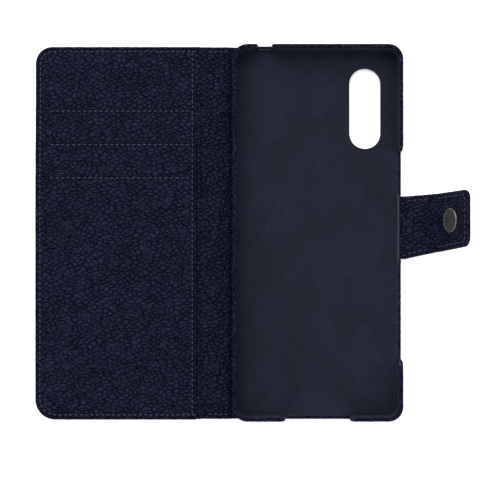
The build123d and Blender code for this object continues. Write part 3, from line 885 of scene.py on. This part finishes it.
def wall_place(points):
    """Points laid out along, up and out from the wall, moved to where they are round the shell."""
    x, y, out_x, out_y = [np.interp(points[:, 0], WALL_S, WALL_ROWS[:, k]) for k in range(4)]
    return np.stack([x + out_x * points[:, 2], y + out_y * points[:, 2], points[:, 1]], axis=1)


def rounded_max(a, b, radius):
    """The larger of two distances, with the corner between them rounded."""
    a, b = a + radius, b + radius
    return np.minimum(np.maximum(a, b), 0) + np.hypot(np.maximum(a, 0), np.maximum(b, 0)) - radius


def gap_distance(s, z, centre, half, bottom, flare):
    """Signed distance to a wall with a gap in it that has rounded top corners."""
    away = np.abs((s - centre + WALL_LENGTH / 2) % WALL_LENGTH - WALL_LENGTH / 2)
    upper = rounded_max(z - WALL_TOP, half - away, flare)
    return -rounded_max(-upper, bottom - z, GAP_CORNER)


def wall_gaps():
    """Centre, half width, bottom and flare of each gap: buttons, headphone notch, port, strap's root."""
    floor = CAVITY_LOW[2] + COVERING
    straight_x, straight_y = SHELL_HIGH[0] - SHELL_RADIUS, SHELL_HIGH[1] - SHELL_RADIUS
    corner = math.pi / 2 * SHELL_RADIUS
    top_start = straight_y - STRAP_CENTRE_Y + corner
    side_s = (SIDE_GAP_LOW + SIDE_GAP_HIGH) / 2 - STRAP_CENTRE_Y
    side_half = (SIDE_GAP_HIGH - SIDE_GAP_LOW) / 2
    jack_s = top_start + straight_x - (CAVITY_LOW[0] + JACK_FROM_SIDE)
    port_s = top_start + 3 * straight_x + 2 * corner + 2 * straight_y
    return [
        (side_s, side_half - COVERING, floor, SIDE_GAP_FLARE),
        (jack_s, JACK_HALF_WIDTH - COVERING, WALL_TOP - JACK_DEPTH + COVERING, JACK_FLARE),
        (port_s, PORT_GAP_HALF_WIDTH - COVERING, floor, PORT_GAP_FLARE),
        (0.0, STRAP_ROOT_WIDTH / 2 + STRAP_CLEARANCE, -5.0, STRAP_CLEARANCE),
    ]


WALL_GAPS = wall_gaps()


def wall_distance(s, z):
    distance = np.maximum(WALL_LOW - z, z - WALL_TOP)
    for gap in WALL_GAPS:
        distance = np.maximum(distance, gap_distance(s, z, *gap))
    return distance


def make_wall_leather():
    def back(s, z):
        turned = 1 - smoothstep(TURNED_IN - 0.1, TURNED_IN + 0.25, -wall_distance(s, z))
        return -WALL_SKIN - (WALL_THICKNESS - WALL_SKIN) * turned

    return make_sheet(
        "shell_leather",
        grid_line(0, WALL_LENGTH),
        grid_line(WALL_LOW, WALL_TOP, FINE_GRID),
        lambda s, z: wall_distance(s, z) + WALL_ROUNDING,
        lambda s, z: np.zeros(s.shape),
        back,
        both=True,
        rounding=0.0,
        rim=round_rim(WALL_ROUNDING, WALL_THICKNESS),
        offset=(0, 600, 0),
        place=wall_place,
        edge_shade_and_wear=False,
    )


# Strap: one line from the tongue through its two folds, with the leather laid out along it

BENDS = ((STRAP_FOLD, 0.0, SIDE_PITCH, 6.0), (TAB_FOLD, SIDE_PITCH, TAB_PITCH, 6.5))
TONGUE_START = TONGUE_LOW[0]
STRAP_SINK = 0.15


def strap_line():
    """Place and direction along the strap's middle, with round bends at the folds."""
    rows = [(TONGUE_START, STRAP_FOLD[2], 0.0)]
    for fold, pitch_before, pitch_after, radius in BENDS:
        before, after = math.radians(pitch_before), math.radians(pitch_after)
        reach = radius * math.tan(math.radians((pitch_after - pitch_before) / 2))
        start_x = fold[0] - reach * math.cos(before)
        start_z = fold[2] - reach * math.sin(before)
        for angle in np.linspace(before, after, 17):
            x = start_x + radius * (math.sin(angle) - math.sin(before))
            z = start_z + radius * (math.cos(before) - math.cos(angle))
            rows.append((x, z, angle))
    tip_x = TAB_FOLD[0] + TAB_LENGTH * math.cos(after)
    tip_z = TAB_FOLD[2] + TAB_LENGTH * math.sin(after)
    return np.array(rows + [(tip_x, tip_z, after)])


STRAP_ROWS = strap_line()
STRAP_U = lengths_along(STRAP_ROWS)
STRAP_LENGTH = STRAP_U[-1]
SHELL_SIDE_U = SHELL_HIGH[0] - TONGUE_START
FOLD_U = STRAP_FOLD[0] - TONGUE_START
SHOULDER_U = STRAP_LENGTH - TAB_LENGTH
SPLIT_U = (FOLD_U + SHOULDER_U) / 2


def strap_place(points):
    """Points laid out along, across and above the strap, moved to where they are."""
    x, z, angle = [np.interp(points[:, 0], STRAP_U, STRAP_ROWS[:, k]) for k in range(3)]
    sink = STRAP_SINK * (1 - smoothstep(SHELL_SIDE_U - 1.5, FOLD_U + 0.6, points[:, 0]))
    height = points[:, 2]
    return np.stack([x - np.sin(angle) * height, points[:, 1], z + np.cos(angle) * height - sink], axis=1)


def strap_half_width(u):
    root, shoulder, tip = STRAP_ROOT_WIDTH / 2, STRAP_SHOULDER_WIDTH / 2, STRAP_TIP_WIDTH / 2
    return np.interp(u, [0, FOLD_U, SHOULDER_U, STRAP_LENGTH], [root, root, shoulder, tip])


def strap_centre(u):
    """The y of the strap's middle, which leans a little towards the top of the phone."""
    side = np.clip(u, FOLD_U, SHOULDER_U) - FOLD_U
    tab = np.maximum(u, SHOULDER_U) - SHOULDER_U
    return STRAP_CENTRE_Y + STRAP_SIDE_LEAN * side + STRAP_TAB_LEAN * tab


def strap_distance(u, y):
    across = np.abs(y - strap_centre(u)) - strap_half_width(u)
    return np.maximum(rounded_max(across, u - STRAP_LENGTH, STRAP_TIP_RADIUS), -u)


def strap_half_thickness(u):
    outside = smoothstep(SHELL_SIDE_U - 0.2, FOLD_U + 0.9, u)
    return TONGUE_HALF_THICKNESS + (STRAP_HALF_THICKNESS - TONGUE_HALF_THICKNESS) * outside


def strap_seam():
    """The line stitched along both edges of the strap and round its tip."""
    corner_u = STRAP_LENGTH - STRAP_TIP_RADIUS
    half_tip = float(strap_half_width(corner_u)) - STRAP_TIP_RADIUS
    path = [(u, float(strap_half_width(u)) - SEAM_INSET) for u in (FOLD_U + 1.0, SHOULDER_U)]
    path += arc_points((corner_u, half_tip), STRAP_TIP_RADIUS - SEAM_INSET, 88, 0, 7)
    path += [(u, -half) for u, half in reversed(path)]
    return [(u, half + float(strap_centre(u))) for u, half in path]


STRAP_SEAM = strap_seam()


def make_strap():
    half_root = STRAP_ROOT_WIDTH / 2
    ys = grid_line(STRAP_CENTRE_Y - half_root, STRAP_CENTRE_Y + half_root + 5, FINE_GRID)

    def made(name, u_low, u_high):
        def distance(u, y):
            cut = strap_distance(u, y)
            if u_low > 0:
                cut = np.maximum(cut, u_low - u)
            if u_high < STRAP_LENGTH:
                cut = np.maximum(cut, u - u_high)
            return cut

        return make_sheet(
            name,
            grid_line(u_low, u_high, FINE_GRID),
            ys,
            distance,
            lambda u, y: strap_half_thickness(u),
            lambda u, y: -strap_half_thickness(u),
            seams=[STRAP_SEAM],
            edge=lambda u, y: -strap_distance(u, y),
            both=True,
            rim=DOUBLE_RIM,
            offset=(0, 900, 0),
            place=strap_place,
            edge_shade_and_wear=False,
            calm=lambda u, y: smoothstep(0, 1, (strap_half_thickness(u) - 0.3) / 0.3) * 0.8 + 0.2,
        )

    return made("strap_root", 0.0, SPLIT_U), made("strap_tab_leather", SPLIT_U, STRAP_LENGTH)


# Stitches, each a short length of thread that dips into the leather at both ends

def stitch_rows(path, height, face_side=1):
    """Place, height, direction and side of each stitch along a flat path."""
    path = np.asarray(path, float)
    pitch = even_pitch(path)
    starts = lengths_along(path)
    rows = []
    for s in np.arange(round(starts[-1] / pitch)) * pitch + pitch / 2:
        before, after = [
            np.array([np.interp(s + step, starts, path[:, k]) for k in (0, 1)]) for step in (-0.6, 0.6)
        ]
        middle = (before + after) / 2
        heading = (after - before) / np.linalg.norm(after - before)
        level = float(height(np.array([middle[0]]), np.array([middle[1]]))[0])
        rows.append((*middle, level, *heading, face_side))
    return rows


def tube_faces(rings, spokes, base=0):
    """Faces of a closed tube whose points, from number base on, go round one ring after another."""
    faces = []
    for start in range(base, base + (rings - 1) * spokes, spokes):
        for spoke in range(spokes):
            a, b = start + spoke, start + (spoke + 1) % spokes
            faces.append([a, a + spokes, b + spokes, b])
    faces.append([base + spoke for spoke in range(spokes)])
    faces.append([base + (rings - 1) * spokes + spoke for spoke in reversed(range(spokes))])
    return faces


def make_stitches(name, rows, place=None):
    """One mesh of all these stitches; each leans a little, as sewn thread does."""
    rings, spokes = 7, 8
    points, faces, rests = [], [], []
    turn = math.radians(STITCH_LEAN)
    for number, (x, y, level, dx, dy, face_side) in enumerate(rows):
        ux, uy = dx * math.cos(turn) - dy * math.sin(turn), dx * math.sin(turn) + dy * math.cos(turn)
        faces += tube_faces(rings, spokes, len(points))
        wobble = 0.05 * math.sin(number * 12.9898)
        for ring in range(rings):
            t = -1 + 2 * ring / (rings - 1)
            along = t * (STITCH_LENGTH / 2 + wobble)
            radius = THREAD_RADIUS * (1 - 0.55 * abs(t) ** 3)
            middle = level + face_side * (0.02 - SEAM_GROOVE * 0.4 - 0.22 * t**4)
            for spoke in range(spokes):
                angle = 2 * math.pi * spoke / spokes
                aside = radius * math.cos(angle) * 1.08
                rise = radius * math.sin(angle) * 0.9
                points.append((x + ux * along - uy * aside, y + uy * along + ux * aside, middle + rise))
                rests.append((along + number * 3.7, angle * radius, 0))
    points = np.array(points)
    if place is not None:
        points = place(points)
    return make_object(name, points, faces, THREAD, {"rest": rests}, sharp=80)


def parted(names, rows, turn, place=None):
    """Two meshes of stitches: those before and those past this distance along."""
    before = [row for row in rows if row[0] < turn]
    past = [row for row in rows if row[0] >= turn]
    return make_stitches(names[0], before, place), make_stitches(names[1], past, place)


def clear_of(rows, turn):
    """The stitches that don't press into each other when the fold here closes."""
    return [row for row in rows if abs(row[0] - turn) > STITCH_FOLD_RELIEF]


def make_flap_stitches():
    rows = []
    for path in [EDGE_SEAM] + LIP_SEAMS + [POCKET_SEAM]:
        rows += stitch_rows(path, flap_height)
    rows = clear_of(rows, COVER_FOLD[0])
    rows += stitch_rows(EDGE_SEAM, lambda x, y: outer_height(x), -1)
    return parted(("cover_stitches", "spine_stitches"), rows, COVER_FOLD[0])


def make_strap_stitches():
    rows = clear_of(stitch_rows(STRAP_SEAM, lambda u, y: strap_half_thickness(u)), SHOULDER_U)
    rows += stitch_rows(STRAP_SEAM, lambda u, y: -strap_half_thickness(u), -1)
    return parted(("strap_stitches", "tab_stitches"), rows, SHOULDER_U, strap_place)


# Metal

def lathe(name, profile, material, place, spokes=96):
    """A turned piece from radius and height pairs, placed by a function of flat points."""
    points, rests = [], []
    for radius, height in profile:
        for angle in np.linspace(0, 2 * math.pi, spokes, endpoint=False):
            points.append((radius * math.cos(angle), radius * math.sin(angle), height))
            rests.append((radius, angle * 2, height))
    faces = [loop[::-1] for loop in tube_faces(len(profile), spokes)]
    return make_object(name, place(np.array(points)), faces, material, {"rest": rests}, sharp=35)


def make_clasp():
    """The clasp's cap: a plain, slightly hollow face inside a raised, rounded rim."""
    base = STRAP_HALF_THICKNESS - 0.1
    top = STRAP_HALF_THICKNESS + CLASP_HEIGHT
    rim = 0.3
    profile = [(CLASP_RADIUS - 0.25, base), (CLASP_RADIUS, base + 0.15), (CLASP_RADIUS, top - rim)]
    profile += arc_points((CLASP_RADIUS - rim, top - rim), rim, 0, 90, 7)
    hollow = ((0.6, 0.02), (0.75, 0.14), (0.95, 0.16), (2.2, 0.08), (3.7, 0.03), (4.9, 0.02))
    profile += [(CLASP_RADIUS - inward, top - drop) for inward, drop in hollow]
    along = SHOULDER_U + CLASP_FROM_FOLD
    centre = np.array([along, float(strap_centre(along)), 0])
    return lathe("clasp_disc", profile, GUNMETAL, lambda points: strap_place(points + centre))


def make_stud():
    """The stud's head: a low plain dome in a beaded rim."""
    low, high = span("cover_stud")
    radius = (high[0] - low[0]) / 2
    centre = np.array([*(low + high)[:2] / 2, COVER_LOW[2]])
    bead = ((0.3, 0.12), (0.0, 0.0), (0.0, -0.14), (0.1, -0.26), (0.3, -0.31), (0.5, -0.27), (0.62, -0.22))
    profile = [(radius - inward, height) for inward, height in bead]
    profile += [(r, -0.24 - 0.26 * (1 - (r / 2.95) ** 2)) for r in (2.8, 2.4, 2.0, 1.5, 1.0, 0.5, 0.12)]
    return lathe("stud_head", profile[::-1], CHROME, lambda points: points + centre)


# Everything in its place

# Distances from each fold, passed to blend
SPINE_REACH = (0.2, -1.8)
COVER_REACH = 1.2
STRAP_REACH = 1.6
TAB_REACH = 2.6


def heading(pitch):
    return np.array([math.cos(math.radians(pitch)), 0, math.sin(math.radians(pitch))])


def blend(piece, low_body, high_body, fold, low_step, high_step):
    """Bake the piece's transform into its mesh."""
    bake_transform(piece)


def ride(piece, body, slot, *nodes):
    """Let the piece ride on a body, and stand for these CAD nodes."""
    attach(piece, body)
    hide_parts(*nodes)
    return piece


def dress_with_leather():
    back_skin, cover_skin = make_outer_leather()
    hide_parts("back_leather", "spine_leather")
    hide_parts("cover_leather")
    lining = make_inner_leather()
    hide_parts("spine_lining", "cover_lining")
    outwards = heading(0)
    blend(back_skin, "back", "spine", SPINE_FOLD, SPINE_REACH[0] * outwards, SPINE_REACH[1] * outwards)
    for piece in (cover_skin, lining):
        blend(piece, "spine", "cover", COVER_FOLD, COVER_REACH * outwards, -COVER_REACH * outwards)
    wall = ride(make_wall_leather(), "back", "leather", "shell_wrap")
    slots = [
        ride(make_card_slot(index), "cover", "inner_leather", name) for index, name in enumerate(SLOT_NAMES)
    ]
    strap_root, strap_tab = make_strap()
    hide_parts("strap_tongue", "strap_side_leather", "strap_side_lining")
    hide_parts("tab_leather", "tab_lining")
    along_side, along_tab = heading(SIDE_PITCH), heading(TAB_PITCH)
    blend(strap_root, "back", "strap_side", STRAP_FOLD, -STRAP_REACH * outwards, STRAP_REACH * along_side)
    blend(strap_tab, "strap_side", "strap_tab", TAB_FOLD, -TAB_REACH * along_side, TAB_REACH * along_tab)
    return back_skin, cover_skin, lining, wall, slots, strap_root, strap_tab


def declare_sheets(back_skin, cover_skin, lining, wall, slots, strap_root, strap_tab):
    """Goes through the card slots and their spans, and does nothing with them."""

    for piece, (low, high) in zip(slots, SLOT_SPANS):
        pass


def dress_with_stitches_and_metal():
    cover_stitches, spine_stitches = make_flap_stitches()
    slot_threads = ["slot_thread_back", "slot_thread_middle", "slot_thread_front"]
    ride(cover_stitches, "cover", "thread", "cover_edge_thread", "pocket_thread", *slot_threads)
    ride(spine_stitches, "spine", "thread", "spine_thread")
    strap_stitches, tab_stitches = make_strap_stitches()
    ride(strap_stitches, "strap_side", "thread", "strap_side_thread")
    ride(tab_stitches, "strap_tab", "thread", "tab_thread")
    ride(make_clasp(), "strap_tab", "dark_metal", "clasp_cap")
    ride(make_stud(), "cover", "bright_metal", "cover_stud")


def paint_frame():
    """Materials of the CAD parts that stay as they are."""
    board = board_material(
        "fibre_board", (0.11, 0.10, 0.085, 1), (0.22, 0.20, 0.17, 1), (0.006, 0.007, 0.018, 1)
    )
    steel = steel_material("sheet_steel", (0.48, 0.48, 0.50, 1), 0.38)
    nickel = steel_material("magnet_nickel", (0.60, 0.59, 0.56, 1), 0.22)
    plastic = plastic_material("tray_plastic", (0.012, 0.014, 0.026, 1), (0.016, 0.019, 0.034, 1))
    suede = suede_material("navy_microfibre", (0.0135, 0.0155, 0.0290, 1), (0.0040, 0.0048, 0.0105, 1))
    for material, names in (
        (plastic, ("shell_tray",)),
        (suede, ("shell_lining",)),
        (board, ("spine_strip", "cover_board", "tab_stiffener")),
        (steel, ("clasp_plate", "clasp_washer", "stud_washer")),
        (nickel, ("clasp_magnet",)),
    ):
        for name in names:
            mesh = frame["nodes"][name].data
            mesh.materials.clear()
            mesh.materials.append(material)


# Stage, in metres

FLOOR_HALF = 3.0
FLOOR_LEVEL = -0.00025
LAMPS = (
    ("key", (-0.25, 0.85, 0.76), 1.30, 20.0),
    ("fill", (0.90, 0.05, 0.80), 1.00, 6.0),
    ("low", (-0.60, -0.70, 0.75), 1.00, 6.0),
)
CAMERA_PLACE = (-0.030, -0.0076, 0.5)
CAMERA_LENS = 80.0
SENSOR_WIDTH = 36.0
WHITE = (1.0, 1.0, 1.0, 1)


def paper_material():
    look = Look("stage_paper")
    mottle = look.noise(look.add("ShaderNodeTexCoord")["Object"], 3.0)
    colour = look.mixed(look.ranged(mottle, 0.3, 0.7), (0.86, 0.86, 0.865, 1), (0.88, 0.88, 0.88, 1))
    glow = {"Emission Color": WHITE, "Emission Strength": 0.42}
    return look.finished(colour, 0.9, {"Specular IOR Level": 0.1, **glow})


def placed(name, data):
    """A new object in the scene."""
    made = bpy.data.objects.new(name, data)
    bpy.context.scene.collection.objects.link(made)
    return made


def set_stage():
    mesh = bpy.data.meshes.new("floor")
    half = FLOOR_HALF
    corners = [(x, y, FLOOR_LEVEL) for x, y in ((-half, -half), (half, -half), (half, half), (-half, half))]
    mesh.from_pydata(corners, [], [(0, 1, 2, 3)])
    mesh.materials.append(paper_material())
    placed("floor", mesh)
    for name, place, size, power in LAMPS:
        lamp = bpy.data.lights.new(name, "AREA")
        lamp.size = size
        lamp.energy = power
        holder = placed(name, lamp)
        holder.location = place
        holder.rotation_euler = Vector(place).to_track_quat("Z", "Y").to_euler()
    world = bpy.data.worlds.new("studio")
    world.use_nodes = True
    nodes = Nodes(world.node_tree)
    up = nodes.split(nodes.add("ShaderNodeTexCoord")["Generated"])["Z"]
    backdrop = world.node_tree.nodes["Background"].inputs
    nodes.feed(backdrop["Color"], WHITE)
    nodes.feed(backdrop["Strength"], nodes.ranged(up, 0.15, 0.8, 0.95, 0.22))
    bpy.context.scene.world = world
    bpy.context.scene.view_settings.view_transform = "Standard"


def set_camera():
    lens = bpy.data.cameras.new("camera")
    lens.lens = CAMERA_LENS
    lens.sensor_width = SENSOR_WIDTH
    lens.clip_start = 0.01
    camera = placed("camera", lens)
    camera.location = CAMERA_PLACE
    bpy.context.scene.camera = camera


set_camera()
set_stage()
paint_frame()
leathers = dress_with_leather()
dress_with_stitches_and_metal()
declare_sheets(*leathers)
